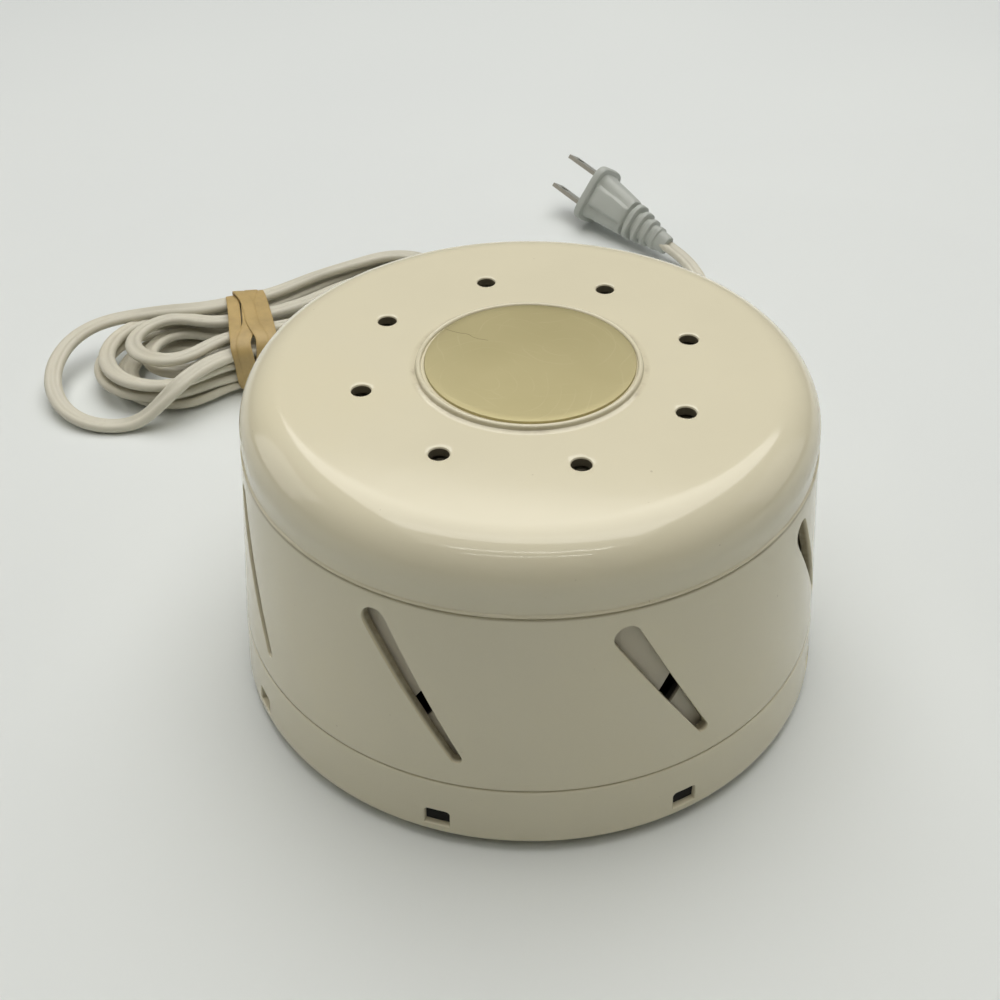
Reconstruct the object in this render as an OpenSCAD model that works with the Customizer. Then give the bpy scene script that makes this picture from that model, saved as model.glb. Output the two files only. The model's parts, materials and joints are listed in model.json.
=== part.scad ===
// Round fan-driven sound conditioner: base ring, slotted turning collar,
// turning cap with a foil disc, shaded-pole motor and fan, flat twin cord.
// Millimetres, +Z up, origin on the resting surface under the centre.

/* [Base] */
// outer radius of the base ring near its lower edge
base_r = 73; // [60:0.5:90]
// height of the rubber feet under the base
foot_h = 3; // [1:0.5:6]
// top of the base ring, where the collar starts
base_top = 18.6; // [14:0.1:30]
// wall thickness of the base ring
base_wall = 2.4; // [1.5:0.1:4]
// width of one air notch in the base ring
notch_w = 5.8; // [3:0.1:10]
// height of one air notch
notch_h = 4.5; // [2:0.1:8]

/* [Collar] */
// outer radius at the collar's lower edge
collar_r0 = 71.66; // [60:0.01:90]
// outer radius at the collar's upper edge
collar_r1 = 66.85; // [55:0.01:85]
// upper edge of the collar
collar_top = 65.4; // [50:0.1:90]
// wall thickness of the collar
collar_wall = 2.3; // [1.5:0.1:4]
// number of slots round the collar, and of holes and notches
count = 8; // [4:1:12]
// radius of a slot's wide upper end
slot_r_top = 3; // [1:0.1:4]
// radius of a slot's narrow lower end
slot_r_low = 1.2; // [0.6:0.1:3]

/* [Cap] */
// outer radius of the cap
cap_r = 66.5; // [50:0.5:85]
// lower edge of the cap
cap_z0 = 65.7; // [50:0.1:90]
// height of the cap's flat top
cap_top = 81.2; // [60:0.1:110]
// radius of the rounded shoulder
shoulder = 10.4; // [3:0.1:15]
// wall thickness of the cap
cap_wall = 2.2; // [1.5:0.1:4]
// radius of the circle that the cap's holes lie on
hole_circle = 38.7; // [25:0.1:55]
// radius of one cap hole
hole_r = 2.2; // [1:0.1:5]
// outer radius of the raised ring
ring_r = 25.84; // [15:0.01:35]
// radius of the foil disc
foil_r = 24.1; // [12:0.1:34]

/* [Motor and fan] */
// shaft radius
shaft_r = 2.38; // [1.5:0.01:4]
// fan radius
fan_r = 46; // [30:1:54]
// height of the lamination stack
stack_h = 16; // [10:1:25]

/* [Cord] */
// half of the flat cord's width
cord_a = 2.8; // [2:0.1:4]
// half of the flat cord's thickness
cord_b = 1.5; // [1:0.1:3]
// height of the folded hank
hank_h = 19; // [10:1:40]

/* [Part] */
// sub-part to draw

/* [Hidden] */
$fn = 64;

step = 360 / count;
collar_z0 = base_top + 0.3;
hole_turn = 16.3;     // direction of the first cap hole
slot_turn = 24.9;     // direction of the first collar slot's middle
inner_turn = 28;      // direction of the first inner slot's middle
notch_turn = 29.2;    // direction of the first base notch
floor_top = foot_h + 2.2;
bore_collar = 58.6;   // collar flange bore, running on the inner housing's neck
neck_r = 58.5;
stack_z = 20;
stack_top = stack_z + stack_h;
pillar_r = 63.2;
pillar_dirs = [6, 141, 231, 321];
switch_dir = 51.1;
switch_x = 72.3;
switch_z = 11.2;
rock = 9;
cord_dir = 88;
cord_z = 10.6;
motor_pts = [[24, -14], [-24, -14], [24, 36], [-24, 36]];
foot_pts = [[35.4, 35.4], [-35.4, 35.4], [-35.4, -35.4], [35.4, -35.4]];
bracket_x = 21.5;
plug_at = [25.5, 228, 13];
plug_turn = 131;
plug_rise = 9.5;
plug_roll = 122;

// the flat cord's two loose stretches, points along the middle
lead_path = [[3.4, 97.9, 10.6], [3.8, 107, 9.9], [3.7, 115, 7.4], [2.2, 123.5, 4.4], [-3, 131.4, 2.4], [-11, 136.3, 1.6], [-20, 137.7, 1.5], [-28.9, 135.1, 1.5], [-37, 130.6, 1.5]];
tail_path = [[52.4, 197, 6.1], [57.6, 191.1, 4.8], [61.5, 184.5, 3], [63.5, 176.5, 1.8], [63, 167.5, 1.5], [58.5, 158.5, 1.5], [49.5, 152.5, 1.5], [38, 150, 1.5], [26, 151.5, 1.5], [13, 155.5, 1.5], [0, 160.5, 1.5], [-13, 164.8, 1.5], [-25, 167.8, 1.5], [-36, 168.6, 1.5]];
// the insulated leads inside the base
wire_a = [[3.9, 66.5, 10.6], [9, 63, 9.5], [16, 58.5, 8.5], [23, 52, 8.5], [29.5, 44.6, 9.6], [33.3, 40.1, 11.2]];
wire_b = [[0.7, 66.5, 10.6], [-3.5, 62.5, 10.2], [-7.5, 58.5, 11.4], [-10, 55.4, 15], [-10.5, 53.8, 18.5], [-10.5, 53.5, 21]];
wire_c = [[36.9, 37.2, 11.2], [31, 43.5, 15], [22, 51, 16], [14.5, 54.4, 16.2], [11, 53.8, 18.4], [10.5, 53.5, 21]];

cream = [0.86, 0.83, 0.72];
dark_cream = [0.78, 0.75, 0.66];
steel = [0.66, 0.67, 0.68];
brass = [0.78, 0.66, 0.35];
copper = [0.72, 0.42, 0.24];
cordgrey = [0.80, 0.77, 0.71];
pluggrey = [0.68, 0.70, 0.68];
rubber = [0.16, 0.16, 0.16];

function unit(v) = v / norm(v);
function heading(p, i) = unit(p[min(i + 1, len(p) - 1)] - p[max(i - 1, 0)]);

// one closed tube of oval section (half width a, half height b) along points p
module swept(p, a, b, n = 8) {
    pts = [for (i = [0 : len(p) - 1])
        let (t = heading(p, i), s = unit(cross(t, [0, 0, 1])), u = cross(s, t))
        for (j = [0 : n - 1]) p[i] + a * cos(360 * (j + 0.5) / n) * s + b * sin(360 * (j + 0.5) / n) * u];
    m = len(p);
    faces = concat(
        [[for (j = [0 : n - 1]) n - 1 - j]],
        [for (i = [0 : m - 2]) for (j = [0 : n - 1]) [i * n + j, i * n + (j + 1) % n, (i + 1) * n + (j + 1) % n]],
        [for (i = [0 : m - 2]) for (j = [0 : n - 1]) [i * n + j, (i + 1) * n + (j + 1) % n, (i + 1) * n + j]],
        [[for (j = [0 : n - 1]) (m - 1) * n + j]]);
    polyhedron(points = pts, faces = faces);
}

// flat outline round two circles and the straight sides that touch both
module wedge(c1, r1, c2, r2) {
    d = norm(c2 - c1);
    f = atan2(c2[1] - c1[1], c2[0] - c1[0]);
    b = acos((r1 - r2) / d);
    polygon([c1 + r1 * [cos(f + b), sin(f + b)], c2 + r2 * [cos(f + b), sin(f + b)],
             c2 + r2 * [cos(f - b), sin(f - b)], c1 + r1 * [cos(f - b), sin(f - b)]]);
    translate(c1) circle(r1);
    translate(c2) circle(r2);
}

// put a flat shape on the wall facing direction a and cut it through from r0 outwards
module through_wall(a, r0, depth) {
    rotate([0, 0, a]) translate([r0, 0, 0]) rotate([90, 0, 90]) linear_extrude(depth) children();
}

module round_at(points, r, z0, z1) {
    for (p = points) translate([p[0], p[1], z0]) cylinder(r = r, h = z1 - z0);
}

module polar_round(dirs, dist, r, z0, z1) {
    for (a = dirs) rotate([0, 0, a]) translate([dist, 0, z0]) cylinder(r = r, h = z1 - z0);
}

module ring_solid(r_in, r_out, z0, z1) {
    difference() {
        translate([0, 0, z0]) cylinder(r = r_out, h = z1 - z0);
        translate([0, 0, z0 - 1]) cylinder(r = r_in, h = z1 - z0 + 2);
    }
}

module base_housing() {
    color(cream) difference() {
        union() {
            rotate_extrude() polygon([[0, foot_h], [base_r - 0.8, foot_h], [base_r, foot_h + 0.8], [collar_r0 + 0.1, base_top - 0.4],
                [collar_r0 - 0.3, base_top], [collar_r0 - base_wall, base_top], [base_r - base_wall - 0.1, floor_top], [0, floor_top]]);
            polar_round(pillar_dirs, pillar_r, 4.2, floor_top - 0.1, 13);
            round_at(motor_pts, 4.5, floor_top - 0.1, 16);
        }
        polar_round(pillar_dirs, pillar_r, 1.7, foot_h - 1, 14);
        polar_round(pillar_dirs, pillar_r, 3.2, foot_h - 1, 6.8);
        round_at(motor_pts, 1.5, 8, 17);
        round_at(foot_pts, 2, foot_h - 1, floor_top + 1);
        for (k = [0 : count - 1]) through_wall(notch_turn + k * step, 68, 8)
            translate([-notch_w / 2, floor_top]) square([notch_w, notch_h]);
        // air way down through the floor behind each notch
        for (k = [0 : count - 1]) rotate([0, 0, notch_turn + k * step])
            translate([62, -notch_w / 2, foot_h - 1]) cube([8.2, notch_w, 4]);
        through_wall(switch_dir, 66, 10) translate([-7.4, switch_z - 5.3]) square([14.8, 10.6]);
        rotate([0, 0, cord_dir]) translate([66, 0, cord_z]) rotate([0, 90, 0]) cylinder(r = 4.6, h = 10);
    }
}

module foot_pads() {
    color(rubber) for (p = foot_pts) translate([p[0], p[1], 0]) rotate_extrude()
        polygon([[0, 0], [5.9, 0], [6.5, 0.6], [6.5, foot_h], [2, foot_h], [2, floor_top], [2.7, floor_top], [1.7, floor_top + 2], [0, floor_top + 2]]);
}

module housing_screws() {
    color(steel) for (a = pillar_dirs) rotate([0, 0, a]) translate([pillar_r, 0, 0]) difference() {
        union() {
            translate([0, 0, 4.7]) cylinder(r = 2.9, h = 2.1);
            translate([0, 0, 6.7]) cylinder(r = 1.6, h = 13.8);
        }
        for (t = [0, 90]) rotate([0, 0, t]) translate([-1.9, -0.4, 4]) cube([3.8, 0.8, 1.7]);
    }
}

module inner_housing() {
    color(dark_cream) difference() {
        union() {
            rotate_extrude() polygon([[69.23, 13], [68.62, 19.3], [68.65, 21.8], [68.38, 21.9], [64.44, 62.9],
                [neck_r, 62.9], [neck_r, 77.2], [neck_r - 0.4, 77.6], [7.05, 77.6], [7.05, 73.6], [10, 73.6], [10, 75.6],
                [56.5, 75.6], [56.5, 60.9], [62.6, 60.9], [66.4, 21.9], [67.23, 13]]);
            polar_round(pillar_dirs, pillar_r, 4.4, 13, 23);
        }
        polar_round(pillar_dirs, pillar_r, 1.6, 12, 21);
        for (k = [0 : count - 1]) through_wall(inner_turn + k * step, 58, 14)
            wedge([8.8, 53.6], 3, [-8.8, 27.4], 2.1);
        for (k = [0 : count - 1]) rotate([0, 0, hole_turn + k * step]) translate([hole_circle, 0, 74]) cylinder(r = 3, h = 5);
        rotate([0, 0, switch_dir]) translate([60, -8.2, 12]) cube([12, 16.4, 5.2]);
        rotate([0, 0, cord_dir]) translate([60, 0, cord_z]) rotate([0, 90, 0]) cylinder(r = 6.2, h = 12);
    }
}

module outer_collar() {
    color(cream) difference() {
        rotate_extrude() polygon([[69, collar_z0], [collar_r0 - 0.3, collar_z0], [collar_r0, collar_z0 + 0.3], [collar_r1 + 0.04, collar_top - 0.4],
            [collar_r1 - 0.4, collar_top], [bore_collar, collar_top], [bore_collar, collar_top - 2], [64.76, collar_top - 2], [69, 22.2]]);
        for (k = [0 : count - 1]) through_wall(slot_turn + k * step, 62, 14)
            wedge([-9.1, 58.3], slot_r_top, [9.5, 26.6], slot_r_low);
    }
}

module cap_profile(r, top, f, z0) {
    translate([0, z0]) square([r, top - f - z0]);
    translate([0, z0]) square([r - f, top - z0]);
    translate([r - f, top - f]) circle(f);
}

module top_cap() {
    color(cream) difference() {
        union() {
            rotate_extrude() difference() {
                union() {
                    intersection() {
                        cap_profile(cap_r, cap_top, shoulder, cap_z0 - 8);
                        translate([0, cap_z0]) square([100, 100]);
                    }
                    polygon([[cap_r - 1, cap_z0 + 4], [cap_r, cap_z0 + 4], [cap_r + 0.55, cap_z0 + 0.9], [cap_r + 0.55, cap_z0 + 0.3], [cap_r + 0.25, cap_z0], [cap_r - 1, cap_z0]]);
                }
                cap_profile(cap_r - cap_wall, cap_top - cap_wall, shoulder - cap_wall, cap_z0 - 8);
            }
            translate([0, 0, cap_top - 0.4]) cylinder(r = ring_r - 1, h = 0.8);
            rotate_extrude() {
                translate([ring_r - 1.24, cap_top - 0.4]) square([1.24, 0.98]);
                translate([ring_r - 0.62, cap_top + 0.58]) circle(0.62);
            }
            translate([0, 0, 73.2]) cylinder(r = 7, h = 6);
            translate([0, 0, 70]) cylinder(r = 5, h = 4);
        }
        for (k = [0 : count - 1]) rotate([0, 0, hole_turn + k * step]) translate([hole_circle, 0, cap_top - 4]) cylinder(r = hole_r, h = 6);
    }
}

module cap_retainer() {
    color(steel) ring_solid(5, 9.6, 72, 73.2);
}

module foil_disc() {
    color(brass) translate([0.25, 0.25, cap_top + 0.4]) cylinder(r = foil_r, h = 0.65);
}

module motor_laminations() {
    color(steel) translate([0, 0, stack_z]) difference() {
        linear_extrude(stack_h) difference() {
            polygon([[-30, -16], [-26, -20], [26, -20], [30, -16], [30, 42], [-30, 42], [-30, -16]]);
            polygon([[-18, 19], [18, 19], [18, 29], [-18, 29]]);
        }
        translate([0, 0, -1]) cylinder(r = 13, h = stack_h + 2);
        round_at(motor_pts, 2.1, -1, stack_h + 1);
        round_at([[bracket_x, 0], [-bracket_x, 0]], 1.7, -1, stack_h + 1);
        round_at([[10, -11.9], [14.1, -16.9], [-10, 11.9], [-13.7, 16.3]], 1.2, -1, stack_h + 1);
    }
}

module shading_rings() {
    color(copper) for (p = [[[10, -11.9], [14.1, -16.9]], [[-10, 11.9], [-13.7, 16.3]]]) {
        round_at(p, 1.2, stack_z - 2.4, stack_top + 2.4);
        for (z = [stack_z - 2.4, stack_top]) translate([p[0][0], p[0][1], z])
            rotate([0, 0, atan2(p[1][1] - p[0][1], p[1][0] - p[0][0])]) translate([0, -1.2, 0]) cube([norm(p[1] - p[0]), 2.4, 2.4]);
    }
}

module coil_bobbin() {
    color([0.85, 0.84, 0.78]) difference() {
        union() {
            translate([-17.6, 27.7, 18.7]) cube([35.2, 15.6, 18.6]);
            for (x = [-17.6, 16.2]) translate([x, 20.8, 12.4]) cube([1.4, 29.2, 31.2]);
        }
        translate([-20, 28.9, 19.9]) cube([40, 13.2, 16.2]);
        for (x = [-18, 15]) translate([x, 19, 19.9]) cube([3.4, 10, 16.2]);
    }
}

module coil_winding() {
    color(copper) difference() {
        translate([-16, 21.8, 13.4]) cube([32, 27.2, 29.2]);
        translate([-17, 27.6, 18.6]) cube([34, 15.8, 18.8]);
    }
}

module bracket(z_bar, z_leg, z_boss) {
    difference() {
        union() {
            translate([-26, -6, z_bar]) cube([52, 12, 2.5]);
            round_at([[bracket_x, 0], [-bracket_x, 0]], 4, z_leg, z_leg + 6.2);
            translate([0, 0, z_boss]) cylinder(r = 8, h = 7);
        }
        translate([0, 0, z_boss - 1]) cylinder(r = 5, h = 9);
        round_at([[bracket_x, 0], [-bracket_x, 0]], 1.65, z_leg - 4, z_leg + 10);
    }
}

module bracket_upper() {
    color(steel) bracket(stack_top + 6, stack_top, stack_top + 4);
}

module bracket_lower() {
    color(steel) bracket(stack_z - 8.5, stack_z - 6.2, stack_z - 11);
}

module sleeve_bearings() {
    color(brass) {
        ring_solid(shaft_r + 0.04, 5, stack_top + 4.5, stack_top + 10.5);
        ring_solid(shaft_r + 0.04, 5, stack_z - 10.5, stack_z - 4.5);
    }
}

module bracket_screws() {
    color(steel) for (x = [-bracket_x, bracket_x]) translate([x, 0, 0]) {
        translate([0, 0, 9.3]) cylinder(r = 1.6, h = stack_top + 8.5 - 9.3);
        translate([0, 0, stack_top + 8.5]) cylinder(r = 3, h = 2.2);
    }
}

module bracket_nuts() {
    color(steel) for (x = [-bracket_x, bracket_x]) translate([x, 0, 9.3]) difference() {
        cylinder(r = 3.4, h = 2.2, $fn = 6);
        translate([0, 0, -1]) cylinder(r = 1.6, h = 5);
    }
}

module motor_grommets() {
    color(rubber) for (p = motor_pts) translate([p[0], p[1], 0]) ring_solid(2.1, 5.2, 16, stack_z);
}

module motor_screws() {
    color(steel) for (p = motor_pts) translate([p[0], p[1], 0]) {
        translate([0, 0, 9]) cylinder(r = 1.5, h = stack_top - 9);
        translate([0, 0, stack_top]) cylinder(r = 3.6, h = 2.4);
    }
}

module rotor_core() {
    color(steel) difference() {
        union() {
            translate([0, 0, stack_z + 0.5]) cylinder(r = 12.6, h = stack_h - 1);
            translate([0, 0, stack_z - 0.8]) cylinder(r = 11.4, h = stack_h + 1.6);
        }
        translate([0, 0, stack_z - 3]) cylinder(r = shaft_r, h = stack_h + 6);
    }
}

module motor_shaft() {
    color(steel) translate([0, 0, 8.8]) cylinder(r = shaft_r, h = 55);
}

module thrust_washers() {
    color([0.3, 0.25, 0.2]) {
        ring_solid(shaft_r, 4.4, stack_top + 11.3, stack_top + 12.1);
        ring_solid(shaft_r, 4.4, stack_z - 3.6, stack_z - 2.8);
    }
}

module fan_wheel() {
    color([0.92, 0.92, 0.9]) difference() {
        union() {
            translate([0, 0, 48.6]) cylinder(r = 7, h = 14);
            translate([0, 0, 52]) cylinder(r = fan_r, h = 1.6);
            for (a = [0, 47, 101, 152, 206, 255, 312]) rotate([0, 0, a]) translate([5, -0.9, 52.5]) cube([fan_r - 5.4, 1.8, 12]);
        }
        translate([0, 0, 45]) cylinder(r = shaft_r, h = 25);
    }
}

module fan_clip() {
    color(steel) ring_solid(7, 8.3, 49.2, 51.4);
}

// local x points outwards, y sideways along the wall, z up
module at_switch() {
    rotate([0, 0, switch_dir]) translate([switch_x, 0, switch_z]) children();
}

module switch_body() {
    color(rubber) at_switch() difference() {
        union() {
            translate([-12, -7.3, -5.2]) cube([12.8, 14.6, 10.4]);
            translate([0.7, -8.3, -5.9]) cube([1.3, 16.6, 11.8]);
        }
        translate([-5.6, -6.9, -4]) cube([10, 13.8, 8]);
        translate([-1.2, 0, -7]) cylinder(r = 1.25, h = 14);
    }
}

module switch_terminals() {
    color(brass) at_switch() for (y = [-2.6, 2.6]) translate([-18, y - 0.4, -2.2]) cube([6, 0.8, 4.4]);
}

module switch_rocker() {
    color([0.2, 0.2, 0.2]) at_switch() translate([-1.2, 0, 0]) rotate([0, 0, -rock]) {
        translate([0, 0, -3.7]) linear_extrude(7.4) polygon([[3.8, -6], [2.9, 0], [3.8, 6], [1.4, 6], [-2.6, 3.2], [-3, 0], [-2.6, -3.2], [1.4, -6]]);
        translate([0, 0, -5]) cylinder(r = 1.2, h = 10);
    }
}

module strain_relief() {
    color(cordgrey) rotate([0, 0, cord_dir]) translate([0, 0, cord_z]) rotate([0, 90, 0]) rotate_extrude()
        polygon([[0, 66.5], [5.4, 66.5], [5.4, 68.6], [4.5, 68.6], [4.5, 73.1], [6, 73.1], [6, 74.6], [5.2, 75.1], [3.4, 98], [0, 98]]);
}

module lead_wires() {
    color([0.9, 0.9, 0.88]) {
        swept(wire_a, 1.1, 1.1);
        swept(wire_b, 1.1, 1.1);
        swept(wire_c, 1.1, 1.1);
    }
}

module crimp_caps() {
    color([0.85, 0.82, 0.7]) for (x = [-10.5, 10.5]) translate([x, 53.5, 21]) cylinder(r1 = 2.6, r2 = 2, h = 9);
}

module cord_lead() {
    color(cordgrey) swept(lead_path, cord_a, cord_b);
}

module cord_tail() {
    color(cordgrey) swept(tail_path, cord_a, cord_b);
}

module cord_hank() {
    color(cordgrey) translate([0, 0, 0.6]) linear_extrude(hank_h) {
        hull() {
            translate([-132, 112]) circle(29.5, $fn = 32);
            translate([-94, 123.5]) circle(19, $fn = 32);
        }
        hull() {
            translate([-94, 123.5]) circle(19, $fn = 32);
            translate([-46.5, 150]) circle(25, $fn = 32);
        }
    }
}

module hank_band() {
    color([0.78, 0.66, 0.42]) translate([-94, 123.5, 0]) rotate([0, 0, 20]) difference() {
        translate([-6.5, -20.6, 0]) cube([13, 41.2, hank_h + 1.2]);
        translate([-8, -20, 0.6]) cube([16, 40, hank_h]);
    }
}

module at_plug() {
    translate(plug_at) rotate([0, -plug_rise, plug_turn]) rotate([plug_roll, 0, 0]) children();
}

// rounded slab from x0 to x1, w along y and t along z
module slab(x0, x1, w, t, r, k = 1) {
    translate([x0, 0, 0]) rotate([90, 0, 90]) linear_extrude(x1 - x0, scale = k)
        offset(r = r, $fn = 24) square([w - 2 * r, t - 2 * r], center = true);
}

module plug_body() {
    color(pluggrey) at_plug() {
        slab(-3.4, 0, 22.6, 15.6, 5);
        mirror([1, 0, 0]) slab(3, 19.5, 18.6, 13, 5, 0.74);
        for (i = [0 : 3]) slab(-24.2 - 4.8 * i, -21.6 - 4.8 * i, 14 - 1.7 * i, 9.6 - 1.1 * i, 3);
        mirror([1, 0, 0]) slab(19, 41.6, 9.4, 6.8, 2.4, 0.78);
    }
}

module plug_blades() {
    color(steel) at_plug() for (y = [-6.35, 6.35]) difference() {
        translate([0, y - 0.75, -3.15]) cube([17.6, 1.5, 6.3]);
        translate([13.6, y, 0]) rotate([90, 0, 0]) cylinder(r = 1.6, h = 4, center = true);
    }
}

base_housing();
foot_pads();
housing_screws();
inner_housing();
outer_collar();
top_cap();
cap_retainer();
foil_disc();
motor_laminations();
shading_rings();
coil_bobbin();
coil_winding();
bracket_upper();
bracket_lower();
sleeve_bearings();
bracket_screws();
bracket_nuts();
motor_grommets();
motor_screws();
rotor_core();
motor_shaft();
thrust_washers();
fan_wheel();
fan_clip();
switch_body();
switch_terminals();
switch_rocker();
strain_relief();
lead_wires();
crimp_caps();
cord_lead();
cord_tail();
cord_hank();
hank_band();
plug_body();
plug_blades();
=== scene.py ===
import json
import math

import bmesh
import bpy
import numpy as np
from mathutils import Matrix, Vector


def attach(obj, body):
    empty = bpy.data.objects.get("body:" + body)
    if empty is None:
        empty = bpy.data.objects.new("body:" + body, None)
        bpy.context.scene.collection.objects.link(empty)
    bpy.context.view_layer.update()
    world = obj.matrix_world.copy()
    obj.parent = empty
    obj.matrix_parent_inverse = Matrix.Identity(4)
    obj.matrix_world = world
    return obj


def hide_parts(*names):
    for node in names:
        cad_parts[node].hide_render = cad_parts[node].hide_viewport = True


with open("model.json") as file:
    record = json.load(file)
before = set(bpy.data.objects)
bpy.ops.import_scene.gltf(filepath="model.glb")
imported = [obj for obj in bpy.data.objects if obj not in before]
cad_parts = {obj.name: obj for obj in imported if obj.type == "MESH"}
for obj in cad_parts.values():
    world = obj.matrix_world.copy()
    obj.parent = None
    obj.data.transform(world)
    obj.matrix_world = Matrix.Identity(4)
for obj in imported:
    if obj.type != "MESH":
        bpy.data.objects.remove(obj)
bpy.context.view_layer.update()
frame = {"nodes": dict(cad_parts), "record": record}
nodes = frame["nodes"]
MM = 0.001
scene = bpy.context.scene
scene.view_settings.view_transform = "Standard"

# ------------------------------------------------------------------ camera
PITCH, YAW, ROLL, FOCAL = 0.682, -0.028, -0.011, 1300.0
fwd = np.array([math.sin(YAW) * math.cos(PITCH), math.cos(YAW) * math.cos(PITCH), -math.sin(PITCH)])
right = np.array([math.cos(YAW), -math.sin(YAW), 0.0])
up = np.cross(right, fwd)
r2 = math.cos(ROLL) * right + math.sin(ROLL) * up
u2 = -math.sin(ROLL) * right + math.cos(ROLL) * up
cam_data = bpy.data.cameras.new("camera")
cam_data.sensor_width = 36.0
cam_data.lens = FOCAL / 1000.0 * 36.0
cam_data.clip_start = 0.01
cam_data.clip_end = 20.0
cam = bpy.data.objects.new("camera", cam_data)
scene.collection.objects.link(cam)
m = Matrix.Identity(4)
for i in range(3):
    m[i][0], m[i][1], m[i][2] = r2[i], u2[i], -fwd[i]
m[0][3], m[1][3], m[2][3] = 0.0, -0.24869, 0.24335
cam.matrix_world = m
scene.camera = cam


# ------------------------------------------------------------------ mesh helpers (millimetres in, metres out)
def make(name, verts, faces, smooth=35.0):
    me = bpy.data.meshes.new(name)
    me.from_pydata([tuple(float(c) * MM for c in v) for v in verts], [], [tuple(int(i) for i in f) for f in faces])
    me.validate(verbose=False)
    me.update()
    o = bpy.data.objects.new(name, me)
    scene.collection.objects.link(o)
    shade(o, smooth)
    return o


def shade(o, angle=35.0):
    me = o.data
    me.polygons.foreach_set("use_smooth", [True] * len(me.polygons))
    me.set_sharp_from_angle(angle=math.radians(angle))


def fix_normals(o):
    bm = bmesh.new()
    bm.from_mesh(o.data)
    bmesh.ops.remove_doubles(bm, verts=bm.verts, dist=1e-7)
    bmesh.ops.recalc_face_normals(bm, faces=bm.faces)
    bm.to_mesh(o.data)
    bm.free()
    o.data.update()


def dense(pts, step, closed=False):
    out = []
    n = len(pts)
    for i in range(n if closed else n - 1):
        a, b = np.array(pts[i], float), np.array(pts[(i + 1) % n], float)
        k = max(1, int(math.ceil(np.linalg.norm(b - a) / step)))
        for j in range(k):
            out.append(tuple(a + (b - a) * j / k))
    if not closed:
        out.append(tuple(pts[-1]))
    return out


def arc(cx, cz, r, a0, a1, n):
    return [(cx + r * math.cos(math.radians(a0 + (a1 - a0) * i / n)), cz + r * math.sin(math.radians(a0 + (a1 - a0) * i / n))) for i in range(n + 1)]


def lathe(name, profile, segs=192, closed=False, smooth=35.0):
    """profile: (radius, height) points; an open one starts and ends on the axis."""
    verts, faces, ring = [], [], []
    for r, z in profile:
        if r < 1e-6:
            ring.append([len(verts)])
            verts.append((0, 0, z))
        else:
            ring.append(list(range(len(verts), len(verts) + segs)))
            verts += [(r * math.cos(2 * math.pi * s / segs), r * math.sin(2 * math.pi * s / segs), z) for s in range(segs)]
    pairs = list(zip(ring[:-1], ring[1:])) + ([(ring[-1], ring[0])] if closed else [])
    for a, b in pairs:
        for s in range(segs):
            t = (s + 1) % segs
            if len(a) == 1 and len(b) == 1:
                continue
            if len(a) == 1:
                faces.append((a[0], b[s], b[t]))
            elif len(b) == 1:
                faces.append((a[s], b[0], a[t]))
            else:
                faces.append((a[s], b[s], b[t], a[t]))
    o = make(name, verts, faces, smooth)
    fix_normals(o)
    shade(o, smooth)
    return o


def loops_solid(name, loops, smooth=35.0):
    """A closed solid through loops of equal length (each a list of xyz), capped at both ends."""
    n = len(loops[0])
    verts = [p for l in loops for p in l]
    faces = [tuple(range(n)), tuple(reversed(range((len(loops) - 1) * n, len(loops) * n)))]
    for i in range(len(loops) - 1):
        for j in range(n):
            k = (j + 1) % n
            faces.append((i * n + j, (i + 1) * n + j, (i + 1) * n + k, i * n + k))
    o = make(name, verts, faces, smooth)
    fix_normals(o)
    shade(o, smooth)
    return o


def join(name, objs):
    verts, faces = [], []
    for o in objs:
        base = len(verts)
        verts += [tuple(v.co) for v in o.data.vertices]
        faces += [tuple(base + i for i in p.vertices) for p in o.data.polygons]
        bpy.data.objects.remove(o)
    me = bpy.data.meshes.new(name)
    me.from_pydata(verts, [], faces)
    me.update()
    out = bpy.data.objects.new(name, me)
    scene.collection.objects.link(out)
    return out


def boolean(o, cutters, op="DIFFERENCE", smooth=30.0):
    c = cutters if not isinstance(cutters, list) else join(o.name + "_cut", cutters)
    mod = o.modifiers.new("cut", "BOOLEAN")
    mod.object = c
    mod.operation = op
    mod.solver = "EXACT"
    bpy.context.view_layer.update()
    dg = bpy.context.evaluated_depsgraph_get()
    me = bpy.data.meshes.new_from_object(o.evaluated_get(dg))
    o.modifiers.clear()
    old = o.data
    o.data = me
    bpy.data.meshes.remove(old)
    bpy.data.objects.remove(c)
    shade(o, smooth)
    return o


def offset_wedge(p1, r1, p2, r2, grow, n=28):
    """Outline round two circles, grown outwards; n points on each end."""
    p1, p2 = np.array(p1, float), np.array(p2, float)
    r1, r2 = r1 + grow, r2 + grow
    d = np.linalg.norm(p2 - p1)
    f = math.atan2(p2[1] - p1[1], p2[0] - p1[0])
    b = math.acos((r1 - r2) / d)
    out = []
    for i in range(n + 1):
        t = f - b + 2 * b * i / n
        out.append(p2 + r2 * np.array([math.cos(t), math.sin(t)]))
    side = 10
    for i in range(1, side):
        a0 = p2 + r2 * np.array([math.cos(f + b), math.sin(f + b)])
        a1 = p1 + r1 * np.array([math.cos(f + b), math.sin(f + b)])
        out.append(a0 + (a1 - a0) * i / side)
    for i in range(n + 1):
        t = f + b + (2 * math.pi - 2 * b) * i / n
        out.append(p1 + r1 * np.array([math.cos(t), math.sin(t)]))
    for i in range(1, side):
        a0 = p1 + r1 * np.array([math.cos(f - b), math.sin(f - b)])
        a1 = p2 + r2 * np.array([math.cos(f - b), math.sin(f - b)])
        out.append(a0 + (a1 - a0) * i / side)
    return out


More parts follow.
